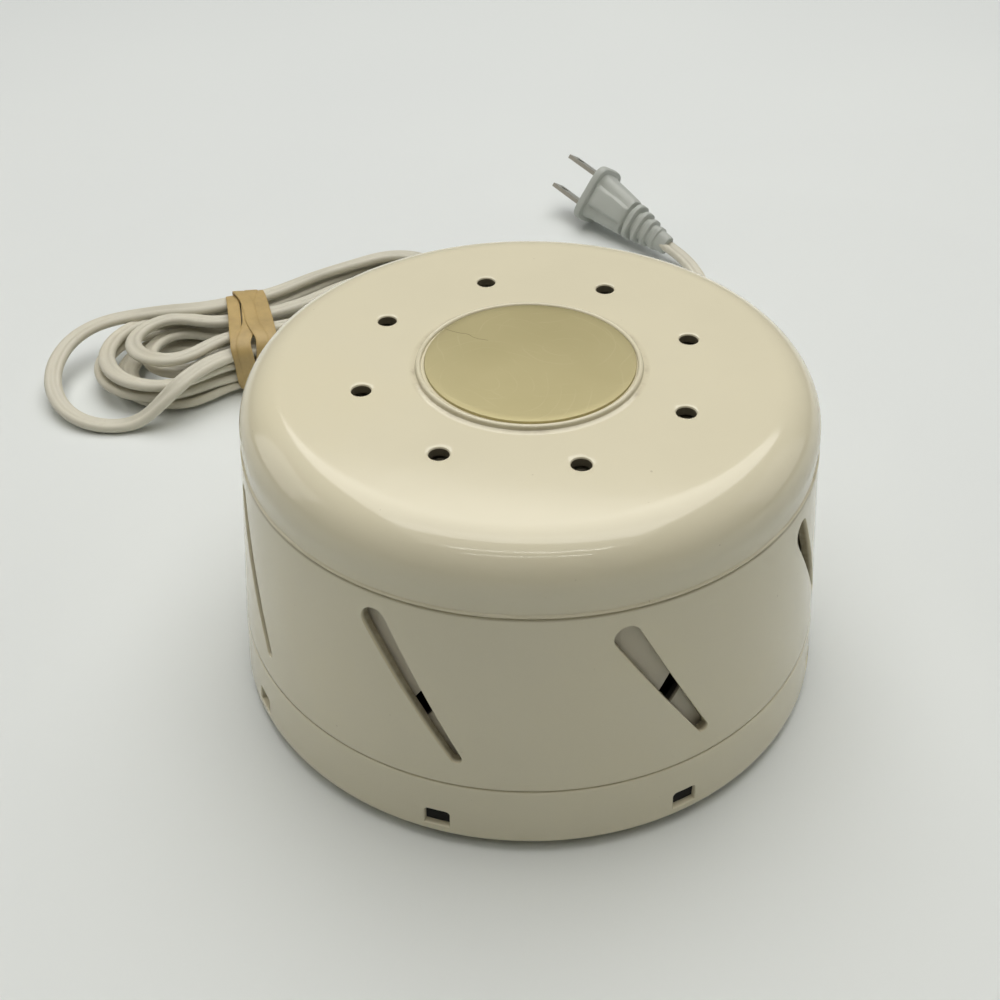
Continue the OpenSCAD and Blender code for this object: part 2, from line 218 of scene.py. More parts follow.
def wall_cutter(outline, turn, surf, depths, r_ref):
    """outline(grow) gives (along the wall, height) points; surf(z) the wall's radius; depths (distance from the surface, growth)."""
    loops = []
    for d, g in depths:
        loop = []
        for q, z in outline(g):
            a = math.radians(turn) + q / r_ref
            r = surf(z) + d
            loop.append((r * math.cos(a), r * math.sin(a), z))
        loops.append(loop)
    return loops_solid("cutter", loops)


# ------------------------------------------------------------------ the cord's route
HANK_PITCH = 3.9
Z0 = 1.55
U_RIGHT = 54.6


def smoothstep(t):
    t = np.clip(t, 0.0, 1.0)
    return t * t * (3 - 2 * t)


_us = np.linspace(-90, 100, 1901)
_h = np.radians(16.1 + 13.5 * smoothstep((_us + 20) / 40))
_sx = np.concatenate([[0], np.cumsum((np.cos(_h[1:]) + np.cos(_h[:-1])) / 2 * 0.1)])
_sy = np.concatenate([[0], np.cumsum((np.sin(_h[1:]) + np.sin(_h[:-1])) / 2 * 0.1)])
_sx += -94.2 - np.interp(0, _us, _sx)
_sy += 123.6 - np.interp(0, _us, _sy)


def spine(q, v):
    x, y = np.interp(q, _us, _sx), np.interp(q, _us, _sy)
    h = np.interp(q, _us, _h)
    return float(x - v * math.sin(h)), float(y + v * math.cos(h))


def half_width(q, left_u, left_r, mid, right_r, fast):
    if q < -8:
        end = left_u + (11 if fast else 0)
        return left_r + (mid - left_r) * float(smoothstep((q - end) / (-8 - end)))
    return mid + (right_r - mid) * float(smoothstep((q - 6) / 42.0))


def winding():
    """Points (u, v, z) of the folded stretch, from the front right corner to the back right one."""
    # left centre, left radius, half width at the band, radius at the right fold before and after
    outer = [(-22.5, 20.6, 14.0, 21.0, 21.2), (-29.6, 19.8, 14.3, 21.0, 20.8), (-26.5, 20.8, 13.9, 21.2, 21.0), (-40.5, 24.8, 14.6, 21.0, 14.2)]
    inner = [(-24.0, 14.3, 6.6, 14.2, 13.8), (-20.5, 13.4, 6.4, 13.8, 14.2), (-26.5, 14.6, 6.7, 14.0, 14.0)]
    pts = []
    start_r = 21.0
    total_in = 2.78
    for k, (lu, lr, mid, r_a, r_b) in enumerate(outer + inner):
        last = k == len(outer) + len(inner) - 1
        big = k == 3
        turn = []
        side = -2.4 if big else 0.0
        for q in np.linspace(U_RIGHT, lu, 17)[:-1]:
            turn.append((q, -half_width(q, lu, lr - side, mid, start_r, big), 0, q))
        for a in np.linspace(-90, -270, 13):
            turn.append((lu + lr * math.cos(math.radians(a)), side + lr * math.sin(math.radians(a)), 1, (-90 - a) / 180.0))
        stop = U_RIGHT if not last else U_RIGHT - 10
        for q in np.linspace(lu, stop, 17)[1:]:
            turn.append((q, half_width(q, lu, lr + side, mid, r_a, False), 2, q))
        if not last:
            for a in np.linspace(90, -90, 13)[1:-1]:
                f = (90 - a) / 180.0
                r = r_a + (r_b - r_a) * float(smoothstep(f))
                turn.append((U_RIGHT + r * math.cos(math.radians(a)), r * math.sin(math.radians(a)), 3, f))
        seg = [0.0]
        for p, q in zip(turn[:-1], turn[1:]):
            seg.append(seg[-1] + math.dist(p[:2], q[:2]))
        full = seg[-1] + (6.0 if not last else 90.0)
        for (q, v, part, f2), s in zip(turn, seg):
            f = s / full
            if k < 4:
                z = Z0 + HANK_PITCH * (k + f)
            else:
                z = Z0 + HANK_PITCH * 4 * (1 - min(1.0, (k - 4 + f) / total_in))
            if big:
                # the long loose loop: its front half droops on to the surface, its back half stays up
                if part == 0:
                    z += (1.9 - z) * float(smoothstep((-22 - q) / 20.0))
                elif part == 1:
                    z = 1.9 + (12.6 - 1.9) * float(smoothstep((f2 - 0.12) / 0.88))
                elif part == 2:
                    z = 12.6 + (z - 12.6) * float(smoothstep((q + 40) / 22.0))
            lift = 0.78 * math.exp(-((q) / 14.0) ** 2)
            wob = 0.5 * math.sin(q * 0.09 + k * 2.1) + 0.3 * math.sin(q * 0.21 + k * 4.7)
            wob *= float(smoothstep((abs(q) - 8) / 20))
            pts.append((q, v + wob * 0.8 * (1 if v > 0 else -1), z + lift + 0.15 * wob))
        start_r = r_b
    return pts


LEAD = [(3.33, 95.9, 10.6), (3.4, 97.9, 10.6), (3.6, 102, 10.45), (3.8, 107, 9.9), (3.85, 111, 8.9), (3.7, 115, 7.4), (3.2, 119.4, 5.8), (2.2, 123.5, 4.4), (0.2, 127.7, 3.2), (-3, 131.4, 2.4),
        (-6.8, 134.4, 1.9), (-11, 136.3, 1.6), (-15.5, 137.5, 1.5), (-20, 137.7, 1.5), (-24.6, 136.9, 1.5), (-28.9, 135.1, 1.5)]
TAIL = [(-36, 168.6, 1.5), (-25, 167.8, 1.5), (-19, 166.6, 1.5), (-13, 164.8, 1.5), (-6.5, 162.8, 1.5), (0, 160.5, 1.5), (6.5, 157.9, 1.5), (13, 155.5, 1.5), (19.5, 153.2, 1.5), (26, 151.5, 1.5), (32, 150.3, 1.5),
        (38, 150, 1.5), (44, 150.6, 1.5), (49.5, 152.5, 1.5), (54.5, 155, 1.5), (58.5, 158.5, 1.5), (61.5, 162.6, 1.5), (63, 167.5, 1.5), (63.8, 172, 1.55), (63.5, 176.5, 1.8), (62.8, 180.6, 2.3), (61.5, 184.5, 3.0),
        (59.7, 188, 3.9), (57.6, 191.1, 4.8), (55, 194.2, 5.6), (52.4, 197, 6.1), (50.5, 199.2, 6.5)]


def catmull(points, step):
    p = np.array(points, float)
    p = np.vstack([2 * p[0] - p[1], p, 2 * p[-1] - p[-2]])
    out = []
    for i in range(1, len(p) - 2):
        a, b, c, d = p[i - 1], p[i], p[i + 1], p[i + 2]
        n = max(2, int(np.linalg.norm(c - b) / step))
        for t in np.arange(n) / n:
            out.append(0.5 * ((2 * b) + (c - a) * t + (2 * a - 5 * b + 4 * c - d) * t * t + (3 * b - a - 3 * c + d) * t ** 3))
    out.append(p[-2])
    return np.array(out)


def resample(p, step):
    s = np.concatenate([[0], np.cumsum(np.linalg.norm(np.diff(p, axis=0), axis=1))])
    n = int(round(s[-1] / step))
    t = np.linspace(0, s[-1], n + 1)
    return np.stack([np.interp(t, s, p[:, i]) for i in range(3)], 1), s[-1]


wind = [spine(q, v) + (z,) for q, v, z in winding()]
route = catmull(LEAD + wind[1:] + [(-45.3, 166.6, 1.5)] + TAIL, 1.0)
route, cord_len = resample(route, 1.6)
for _ in range(14):
    route[2:-2] += 0.5 * ((route[1:-3] + route[3:-1]) / 2 - route[2:-2])
route, cord_len = resample(route, 1.6)
route[:, 2] = np.maximum(route[:, 2], 1.47)
print("cord length mm", round(cord_len, 1), "points", len(route))


def twin_profile(w, t, n=10):
    """Section of a flat two-core cord: two lobes and a groove on each face."""
    r = t / 2
    c = w / 2 - r
    pts = []
    for s in (1, -1):
        for i in range(n + 1):
            a = math.radians(-118 + 236 * i / n)
            pts.append((s * (c + r * math.cos(a)), s * r * math.sin(a)))
        pts.append((0.0, s * r * 0.62))
    return pts


def ribbon_frames(p, roll):
    t = np.gradient(p, axis=0)
    t /= np.linalg.norm(t, axis=1)[:, None]
    side = np.cross(t, [0, 0, 1.0])
    side /= np.linalg.norm(side, axis=1)[:, None]
    upv = np.cross(side, t)
    c, s = np.cos(roll)[:, None], np.sin(roll)[:, None]
    return side * c + upv * s, -side * s + upv * c


sarc = np.arange(len(route)) * 1.6
roll = np.radians(9 * np.sin(sarc / 31.0) + 6 * np.sin(sarc / 13.7 + 1.2))
fade = np.clip(np.minimum(sarc / 40, (sarc[-1] - sarc) / 40), 0, 1)
fade *= np.clip((route[:, 2] - 1.5) / 1.2, 0.12, 1)
s_ax, u_ax = ribbon_frames(route, roll * fade)
prof = twin_profile(5.6, 2.85)
loops = [[route[i] + a * s_ax[i] + b * u_ax[i] for a, b in prof] for i in range(len(route))]
cord = loops_solid("mains_cord", loops, 60)
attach(cord, "base")
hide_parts("cord_lead", "cord_tail", "cord_hank")


# ------------------------------------------------------------------ rubber band, wound three times
BAND_KEYS = [(0.125, -5.2), (0.375, -4.9), (1.125, 2.6), (1.375, -2.9), (2.125, 4.3), (2.375, 4.6), (3.125, -2.2), (3.375, 2.6), (4.125, -5.2)]
BAND_WIDE = [2.0, 2.4, 2.6, 2.2]
BAND_LIFT = [0.0, 0.75, 0.0, 1.35]


def band_path(f):
    """Along the hank, for the winding number f counted from 0 to 4."""
    g = f if f >= 0.125 else f + 4.0
    for (f0, q0), (f1, q1) in zip(BAND_KEYS[:-1], BAND_KEYS[1:]):
        if f0 <= g <= f1:
            return q0 + (q1 - q0) * float(smoothstep((g - f0) / (f1 - f0)))
    return BAND_KEYS[0][1]


def band_mesh():
    n = 720
    rounds = 4.0
    mid, wid, half = [], [], []
    for i in range(n):
        f = rounds * i / n
        q = band_path(f)
        a = 2 * math.pi * f
        k = int(f) % 4
        g = f - int(f)
        # the lift belongs to the top pass of each winding
        lift = BAND_LIFT[k] * float(smoothstep(g / 0.10)) * float(smoothstep((0.60 - g) / 0.16))
        e = 0.40
        cv = math.copysign(abs(math.cos(a)) ** e, math.cos(a))
        cz = math.copysign(abs(math.sin(a)) ** e, math.sin(a))
        v, z = (18.0 + lift * 0.7) * cv, 9.95 + (9.48 + (lift * 0.75 if cz > 0 else 0)) * cz
        q += 0.15 * v + 1.2
        x, y = spine(q, v)
        mid.append((x, y, z))
        h = float(np.interp(q, _us, _h))
        wid.append((math.cos(h), math.sin(h), 0.0))
        half.append(BAND_WIDE[k] + 0.10 * math.sin(f * 9))
    mid = np.array(mid)
    wid = np.array(wid)
    half = np.array(half)
    for _ in range(10):
        half = (half + np.roll(half, 1) + np.roll(half, -1)) / 3
    tan = np.roll(mid, -1, 0) - np.roll(mid, 1, 0)
    tan /= np.linalg.norm(tan, axis=1)[:, None]
    wid -= tan * (wid * tan).sum(1)[:, None]
    wid /= np.linalg.norm(wid, axis=1)[:, None]
    nor = np.cross(wid, tan)
    for _ in range(6):
        nor = nor + np.roll(nor, 1, 0) + np.roll(nor, -1, 0)
        nor /= np.linalg.norm(nor, axis=1)[:, None]
    verts, faces = [], []
    k = 12
    for i in range(n):
        f = rounds * i / n
        cross = 1.0 if int(f) % 4 in (1, 3) else 0.3
        tw = 0.16 * math.sin(f * 2 * math.pi + 0.7) * cross
        wv = wid[i] * math.cos(tw) + nor[i] * math.sin(tw)
        nv = -wid[i] * math.sin(tw) + nor[i] * math.cos(tw)
        for j in range(k):
            a = 2 * math.pi * (j + 0.5) / k
            ca = math.copysign(abs(math.cos(a)) ** 0.35, math.cos(a))
            sa = math.copysign(abs(math.sin(a)) ** 0.5, math.sin(a))
            verts.append(mid[i] + wv * half[i] * ca + nv * 0.40 * sa)
    for i in range(n):
        for j in range(k):
            a, b = i * k + j, i * k + (j + 1) % k
            c, d = ((i + 1) % n) * k + (j + 1) % k, ((i + 1) % n) * k + j
            faces.append((a, b, c, d))
    o = make("rubber_band", verts, faces, 50)
    fix_normals(o)
    for v in o.data.vertices:
        v.co.z = max(v.co.z, 0.00002)
    shade(o, 50)
    return o


band = band_mesh()
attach(band, "base")
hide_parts("hank_band")

# ------------------------------------------------------------------ plug, lofted along its own axis
PLUG_AT = Vector((25.5, 228.0, 13.0))
PLUG_M = Matrix.Translation(PLUG_AT) @ Matrix.Rotation(math.radians(131), 4, "Z") @ Matrix.Rotation(math.radians(-9.5), 4, "Y") @ Matrix.Rotation(math.radians(122), 4, "X")


def superloop(x, w, t, e, ridge=0.0, n=96):
    out = []
    for i in range(n):
        a = 2 * math.pi * i / n
        y = w / 2 * math.copysign(abs(math.cos(a)) ** e, math.cos(a))
        z = t / 2 * math.copysign(abs(math.sin(a)) ** e, math.sin(a))
        band = float(smoothstep((0.25 - abs(y) / w) / 0.05))
        z *= 1 + ridge * (band - 0.55)
        out.append(tuple(PLUG_M @ Vector((x, y, z))))
    return out


def plug_mesh():
    s = []
    # face and overhanging flange
    s += [(0.0, 19.6, 12.8, 0.45, 0), (-0.05, 21.4, 14.4, 0.45, 0), (-0.4, 22.4, 15.4, 0.45, 0), (-1.1, 22.6, 15.6, 0.45, 0), (-2.3, 22.5, 15.5, 0.45, 0), (-3.0, 21.9, 14.9, 0.45, 0), (-3.3, 20.4, 13.6, 0.48, 0)]
    # grip with a raised panel along both broad faces
    s += [(-3.4, 18.9, 12.4, 0.5, 0.0), (-4.0, 18.2, 12.0, 0.5, 0.10), (-5.0, 17.9, 11.9, 0.5, 0.22), (-9, 17.2, 11.5, 0.52, 0.24), (-13, 16.4, 11.0, 0.55, 0.24), (-17, 15.4, 10.4, 0.6, 0.22), (-19.4, 14.8, 10.0, 0.62, 0.18),
          (-20.4, 14.0, 9.4, 0.68, 0.06), (-20.8, 12.6, 8.4, 0.75, 0), (-20.9, 10.2, 7.2, 0.8, 0), (-21.6, 10.0, 7.0, 0.85, 0)]
    # ribs of the flexible relief
    w, t = 14.4, 9.6
    x = -21.9
    for i in range(4):
        ww, tt = w - 1.75 * i, t - 1.05 * i
        core_w, core_t = 9.6 - 0.6 * i, 6.6 - 0.4 * i
        s += [(x, core_w + 0.4, core_t + 0.3, 0.8, 0), (x - 0.2, ww - 0.9, tt - 0.9, 0.7, 0), (x - 0.6, ww, tt, 0.7, 0), (x - 2.1, ww - 0.1, tt - 0.1, 0.7, 0), (x - 2.5, ww - 1.0, tt - 1.0, 0.7, 0),
              (x - 2.7, core_w, core_t, 0.8, 0)]
        x -= 4.1
    s += [(-38.6, 7.6, 5.4, 0.9, 0), (-40.6, 7.2, 5.0, 0.9, 0), (-41.3, 6.8, 4.6, 0.9, 0), (-41.6, 6.0, 3.6, 0.9, 0)]
    loops = [superloop(x, w, t, e, r) for x, w, t, e, r in s]
    return loops_solid("plug_grip", loops, 32)


plug = plug_mesh()
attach(plug, "base")
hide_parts("plug_body")


# ------------------------------------------------------------------ strain relief at the housing
def relief_mesh():
    prof = [(0, 66.5), (5.2, 66.5), (5.4, 66.7), (5.4, 68.4), (5.2, 68.6), (4.5, 68.6), (4.5, 73.1), (5.7, 73.1), (6.0, 73.4), (6.0, 74.3), (5.7, 74.6), (5.2, 74.8)]
    x = 75.3
    while x < 95.5:
        r = 5.05 - (x - 75.3) * 0.071
        prof += [(r, x), (r, x + 1.5), (r - 0.2, x + 1.7), (r - 1.0, x + 1.75), (r - 1.0, x + 2.45), (r - 0.25, x + 2.5)]
        x += 2.7
    prof += [(3.5, 96.6), (3.4, 97.6), (3.1, 98.0), (0, 98.0)]
    o = lathe("cord_relief", prof, 64, smooth=40)
    c, s = math.cos(math.radians(88)), math.sin(math.radians(88))
    for v in o.data.vertices:
        ax, lx, ly = v.co.z, v.co.x, v.co.y
        v.co = Vector((ax * c - lx * s, ax * s + lx * c, ly + 10.6 * MM))
    fix_normals(o)
    shade(o, 40)
    return o


relief = relief_mesh()
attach(relief, "base")
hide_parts("strain_relief")


# ------------------------------------------------------------------ housing shells
def cap_mesh():
    prof = [(0, 81.6), (8, 81.6), (16, 81.6), (22, 81.6), (24.3, 81.6), (24.6, 81.62)]
    prof += arc(25.22, 81.78, 0.62, 180, 0, 10)
    prof += [(25.84, 81.55), (25.95, 81.32), (26.2, 81.2)]
    prof += [(r, 81.2) for r in np.linspace(27.5, 55, 22)]
    prof += arc(56.1, 70.8, 10.4, 90, 0, 22)
    prof += [(66.5, 70.0), (66.5, 68.5), (66.5, 66.66), (66.54, 66.5), (66.68, 66.36), (66.82, 66.26), (66.91, 66.14), (66.93, 66.0), (66.91, 65.86), (66.82, 65.75), (66.68, 65.7), (65.5, 65.7), (64.5, 65.7), (64.3, 65.9), (64.3, 68)]
    prof += arc(56.1, 70.8, 8.2, 0, 90, 14)
    prof += [(r, 79.0) for r in (50, 42, 34, 26, 18, 11, 7)] + [(7, 76), (7, 73.2), (5, 73.2), (5, 70.3), (4.7, 70), (0, 70)]
    o = lathe("cap_shell", prof, 256)
    cut = []
    for k in range(8):
        a = math.radians(16.3 + 45 * k)
        cx, cy = 38.7 * math.cos(a), 38.7 * math.sin(a)
        loops = []
        for z, r in ((76.0, 2.2), (80.65, 2.2), (80.95, 2.26), (81.12, 2.4), (81.2, 2.62), (81.5, 3.4)):
            loops.append([(cx + r * math.cos(2 * math.pi * j / 48), cy + r * math.sin(2 * math.pi * j / 48), z) for j in range(48)])
        cut.append(loops_solid("c", loops))
    return boolean(o, cut)


cap = cap_mesh()
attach(cap, "cap")
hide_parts("top_cap")


def collar_surface(z):
    return 71.66 + (66.85 - 71.66) * (z - 18.9) / (65.4 - 18.9)


def collar_mesh():
    outer = [(71.35, 18.9), (71.56, 18.98), (71.64, 19.2)] + [(collar_surface(z), z) for z in np.linspace(20, 64.6, 44)] + [(66.88, 65.0), (66.75, 65.25), (66.5, 65.4)]
    inner = [(62, 65.4), (58.8, 65.4), (58.6, 65.2), (58.6, 63.6), (58.8, 63.4), (62, 63.4), (64.76, 63.4)] + [(64.76 + (69.0 - 64.76) * t, 63.4 + (22.2 - 63.4) * t) for t in np.linspace(0.04, 1, 30)] + [(69.0, 20.5), (69.0, 18.9)]
    o = lathe("collar_shell", outer + inner, 256, closed=True)
    cut = [wall_cutter(lambda g: offset_wedge((-9.1, 58.3), 3.0, (9.5, 26.6), 1.2, g), 24.9 + 45 * k, collar_surface,
                       ((-6, 0), (-0.22, 0), (-0.1, 0.05), (0.0, 0.16), (0.6, 0.6)), 69.4) for k in range(8)]
    return boolean(o, cut)


collar = collar_mesh()
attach(collar, "collar")
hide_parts("outer_collar")


def base_surface(z):
    return 73.0 + (71.76 - 73.0) * (z - 3.8) / (18.2 - 3.8)


def base_mesh():
    prof = [(0, 5.2)] + [(r, 5.2) for r in (10, 20, 30, 40, 50, 60, 66)] + [(70.45, 5.2)]
    prof += [(70.45 + (69.26 - 70.45) * t, 5.2 + 13.4 * t) for t in (0.2, 0.4, 0.6, 0.8, 1.0)]
    prof += [(70.3, 18.6), (71.3, 18.6), (71.58, 18.5), (71.72, 18.25)]
    prof += [(base_surface(z), z) for z in np.linspace(17.6, 4.2, 16)] + [(73.0, 3.75), (72.9, 3.35), (72.65, 3.1), (72.3, 3.0)]
    prof += [(r, 3.0) for r in (68, 60, 50, 40, 30, 20, 10)] + [(0, 3.0)]
    o = lathe("base_shell", prof, 256)

    def pin(x, y, r, z0, z1, n=40):
        return loops_solid("p", [[(x + r * math.cos(2 * math.pi * j / n), y + r * math.sin(2 * math.pi * j / n), z) for j in range(n)] for z in (z0, z1)])

    posts = [(63.2 * math.cos(math.radians(a)), 63.2 * math.sin(math.radians(a))) for a in (6, 141, 231, 321)]
    bosses = [(24, -14), (-24, -14), (24, 36), (-24, 36)]
    boolean(o, [pin(x, y, 4.2, 4.9, 13.0) for x, y in posts] + [pin(x, y, 4.5, 4.9, 16.0) for x, y in bosses], "UNION")
    cut = [pin(x, y, 1.7, 1, 14.5) for x, y in posts] + [pin(x, y, 1.5, 8, 18) for x, y in bosses]
    boolean(o, cut)
    boolean(o, [pin(x, y, 3.2, 1, 6.8) for x, y in posts])

    def notch(g):
        w, z0, z1, r = 2.9 + g, 5.2 - g, 9.7 + g, 0.9 + g
        pts = [(-w, z0), (0, z0), (w, z0), (w, (z0 + z1) / 2)]
        pts += [(w - r + r * math.cos(math.radians(a)), z1 - r + r * math.sin(math.radians(a))) for a in (0, 22, 45, 68, 90)]
        pts += [(0, z1)] + [(-w + r + r * math.cos(math.radians(a)), z1 - r + r * math.sin(math.radians(a))) for a in (90, 112, 135, 158, 180)]
        pts += [(-w, (z0 + z1) / 2)]
        return pts
    cut = [wall_cutter(notch, 29.2 + 45 * k, base_surface, ((-5, 0), (-0.3, 0), (-0.1, 0.08), (0, 0.2), (0.5, 0.6)), 72.6) for k in range(8)]

    boolean(o, cut)
    cut = []
    for k in range(8):
        a = math.radians(29.2 + 45 * k)
        ring = [(r * math.cos(a) - q * math.sin(a), r * math.sin(a) + q * math.cos(a)) for r, q in ((62, -2.9), (70.2, -2.9), (70.2, 2.9), (62, 2.9))]
        cut.append(loops_solid("d", [[(x, y, z) for x, y in ring] for z in (2, 5.9)]))

    boolean(o, cut)
    cut = []

    def slot_box(g):
        return [(-7.4, 5.9), (7.4, 5.9), (7.4, 16.5), (-7.4, 16.5)]
    cut.append(wall_cutter(slot_box, 51.1, base_surface, ((-6, 0), (3, 0)), 72.0))
    c = loops_solid("h", [[(x * math.cos(math.radians(88)) - 4.6 * math.cos(t) * math.sin(math.radians(88)), x * math.sin(math.radians(88)) + 4.6 * math.cos(t) * math.cos(math.radians(88)), 10.6 + 4.6 * math.sin(t))
                          for t in np.linspace(0, 2 * math.pi, 49)[:-1]] for x in (66, 76)])
    cut.append(c)
    return boolean(o, cut)


base = base_mesh()
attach(base, "base")
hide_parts("base_housing")


# ------------------------------------------------------------------ foil disc with a rolled edge
def foil_mesh():
    prof = [(0, 82.25), (6, 82.25), (12, 82.25), (18, 82.25), (22, 82.25), (23.75, 82.25), (24.0, 82.22), (24.1, 82.12), (24.1, 81.6), (12, 81.6), (0, 81.6)]
    o = lathe("foil_face", prof, 192)
    for v in o.data.vertices:
        v.co.x += 0.25 * MM
        v.co.y += 0.25 * MM
    return o


foil = foil_mesh()
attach(foil, "cap")
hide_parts("foil_disc")


# ------------------------------------------------------------------ near-black blocks behind the notches: painted shade filling the notch openings
def pads_mesh():
    parts = []
    for k in range(8):
        a0 = math.radians(29.2 + 45 * k)
        loops = []
        for z in (5.22, 5.5, 7.5, 9.3, 9.6):
            g = 0.25 if z in (5.22, 9.6) else 0.0
            loop = []
            for r, w0, w1 in ((71.6 - g * 0.5, -2.8 + g, 2.8 - g), (68.4 + g * 0.5, 2.8 - g, -2.8 + g)):
                for q in np.linspace(w0, w1, 7):
                    a = a0 + q / 69.0
                    loop.append((r * math.cos(a), r * math.sin(a), z))
            loops.append(loop)
        parts.append(loops_solid("pad", loops, 30))
    o = join("notch_shade_blocks", parts)
    fix_normals(o)
    shade(o, 30)
    return o


pads = pads_mesh()
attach(pads, "base")

# the remaining CAD nodes keep their shape: smooth shading only
for n, o in nodes.items():
    if not o.hide_render:
        shade(o, 28)


# ------------------------------------------------------------------ materials
class Mat:
    def __init__(self, name):
        self.m = bpy.data.materials.new(name)
        self.m.use_nodes = True
        self.t = self.m.node_tree
        self.b = self.t.nodes["Principled BSDF"]
        self.coord = self.t.nodes.new("ShaderNodeTexCoord").outputs["Object"]

    def n(self, kind, **kw):
        node = self.t.nodes.new(kind)
        for k, v in kw.items():
            setattr(node, k, v)
        return node

    def link(self, a, b):
        self.t.links.new(a, b)

    def noise(self, scale, detail=3.0, rough=0.5, vec=None):
        x = self.n("ShaderNodeTexNoise")
        x.inputs["Scale"].default_value = scale
        x.inputs["Detail"].default_value = detail
        x.inputs["Roughness"].default_value = rough
        self.link(vec or self.coord, x.inputs["Vector"])
        return x.outputs["Fac"]

    def ramp(self, fac, stops):
        x = self.n("ShaderNodeValToRGB")
        el = x.color_ramp.elements
        while len(el) < len(stops):
            el.new(0.5)
        for e, (p, c) in zip(el, stops):
            e.position = p
            e.color = tuple(c) + (1.0,) if len(c) == 3 else c
        self.link(fac, x.inputs["Fac"])
        return x.outputs["Color"]

    def mix(self, fac, a, b, kind="MIX"):
        x = self.n("ShaderNodeMix", data_type="RGBA", blend_type=kind)
        if isinstance(fac, (int, float)):
            x.inputs[0].default_value = fac
        else:
            self.link(fac, x.inputs[0])
        for s, v in ((6, a), (7, b)):
            if isinstance(v, tuple):
                x.inputs[s].default_value = v + (1.0,)
            else:
                self.link(v, x.inputs[s])
        return x.outputs[2]

    def math(self, op, a, b=0.0, c=None, clamp=False):
        x = self.n("ShaderNodeMath", operation=op, use_clamp=clamp)
        for s, v in zip((0, 1, 2), (a, b, c)):
            if v is None:
                continue
            if isinstance(v, (int, float)):
                x.inputs[s].default_value = v
            else:
                self.link(v, x.inputs[s])
        return x.outputs[0]

    def axis(self, i, vec=None):
        x = self.n("ShaderNodeSeparateXYZ")
        self.link(vec or self.coord, x.inputs[0])
        return x.outputs[i]

    def bump(self, height, strength, distance, normal=None):
        x = self.n("ShaderNodeBump")
        x.inputs["Strength"].default_value = strength
        x.inputs["Distance"].default_value = distance
        self.link(height, x.inputs["Height"])
        if normal is not None:
            self.link(normal, x.inputs["Normal"])
        return x.outputs["Normal"]

    def set(self, color=None, rough=None, normal=None, metal=None, **kw):
        def put(sock, v):
            if v is None:
                return
            if isinstance(v, tuple):
                self.b.inputs[sock].default_value = v + (1.0,) if len(v) == 3 else v
            elif isinstance(v, (int, float)):
                self.b.inputs[sock].default_value = v
            else:
                self.link(v, self.b.inputs[sock])
        put("Base Color", color)
        put("Roughness", rough)
        put("Metallic", metal)
        if normal is not None:
            self.link(normal, self.b.inputs["Normal"])
        for k, v in kw.items():
            put(k.replace("_", " "), v)
        return self.m


def srgb(r, g, b):
    return tuple(((c / 255) / 12.92 if c / 255 <= 0.04045 else ((c / 255 + 0.055) / 1.055) ** 2.4) for c in (r, g, b))


def plastic(name, rgb, rough=0.42, vary=0.03, grain=0.25, dirt_and_shade=None, spec=0.5):
    w = Mat(name)
    c = srgb(*rgb)
    dark = tuple(x * (1 - vary * 1.6) for x in c)
    warm = (c[0] * (1 + vary), c[1] * (1 + vary * 0.6), c[2] * (1 - vary))
    col = w.ramp(w.noise(18, 4, 0.55), [(0.3, dark), (0.5, c), (0.72, warm)])
    if dirt_and_shade is not None:
        col = dirt_and_shade(w, col)
    r = w.math("MULTIPLY_ADD", w.noise(260, 2), 0.06, rough - 0.03)
    r = w.math("MULTIPLY_ADD", w.noise(22, 3), 0.06, w.math("SUBTRACT", r, 0.03))
    nrm = w.bump(w.noise(2600, 2, 0.6), grain, 0.00004)
    nrm = w.bump(w.noise(60, 2), 0.12, 0.0003, nrm)
    return w.set(col, r, nrm, Specular_IOR_Level=spec)


def inside(w, r0, slope, skin, soft):
    """1 inside a conical wall of radius r0 - slope * height, from skin below the outer face."""
    x, y, z = w.axis(0), w.axis(1), w.axis(2)
    rad = w.math("SQRT", w.math("ADD", w.math("MULTIPLY", x, x), w.math("MULTIPLY", y, y)))
    wall = w.math("MULTIPLY_ADD", z, -slope, r0 - skin)
    return w.math("DIVIDE", w.math("SUBTRACT", wall, rad), soft, clamp=True), rad, z


def between(w, z, lo, hi):
    return w.math("MULTIPLY", w.math("GREATER_THAN", z, lo), w.math("LESS_THAN", z, hi))


def inner_painted_shade(w, col):
    # painted shade: faces more than 0.3 mm inside the inner housing's outer face, 14.5 to 60 mm up, are made
    # near-black
    deep, rad, z = inside(w, 0.07048, 0.0961, 0.0003, 0.0006)
    return w.mix(w.math("MULTIPLY", deep, w.math("MULTIPLY", between(w, z, 0.0145, 0.060), 0.93)), col, srgb(24, 21, 17))


